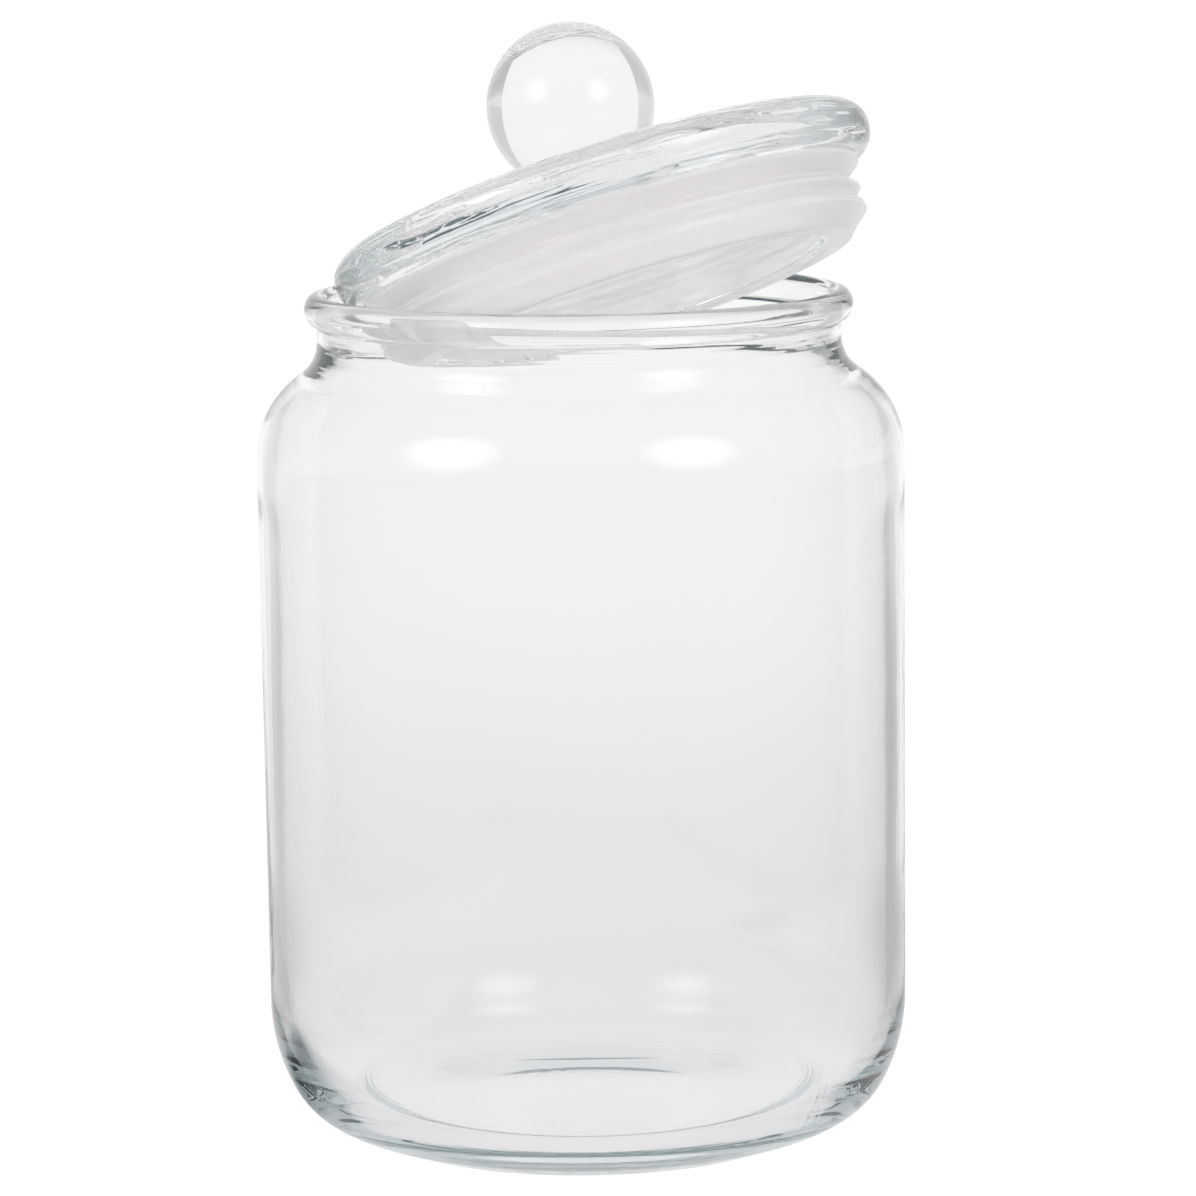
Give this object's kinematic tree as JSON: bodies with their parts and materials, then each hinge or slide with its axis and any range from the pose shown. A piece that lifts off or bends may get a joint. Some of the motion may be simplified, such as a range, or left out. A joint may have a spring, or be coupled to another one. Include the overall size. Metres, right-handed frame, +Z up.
{
  "type": "glass jar",
  "caption": "Round clear glass storage canister with a rolled mouth, rounded shoulders and heel, and a ball-knob glass lid in a soft white seal ring, leaning askew in the mouth.",
  "frame": {"origin": "on the jar's own axis, in the plane that its foot ring stands on", "axes": "+Z up along the jar's axis; the lid leans along a line in the XY plane, its raised side at -38 degrees from +X"},
  "size_m": [0.1404, 0.1404, 0.2415],
  "materials": {
    "jar_glass": "clear blown glass with a faint green tint",
    "lid_glass": "clear pressed glass with a faint green tint",
    "soft_white": "milky soft plastic, satin"
  },
  "bodies": {
    "jar": {"jar_body": "jar_glass"},
    "seal": {"lid_seal": "soft_white"},
    "lid": {"glass_lid": "lid_glass"}
  },
  "joints": [
    {"name": "lid_tilt", "type": "hinge", "parent": "jar", "child": "seal", "pos_m": [-0.01904, 0.0149, 0.2151], "axis": [-0.6161, -0.7877, 0], "range_deg": [-21.28, 68.72], "deforming": ["lid_seal"]},
    {"name": "lid_lift", "type": "slide", "parent": "seal", "child": "lid", "axis": [-0.2859, 0.2236, 0.9318], "range_m": [0, 0.1]}
  ]
}
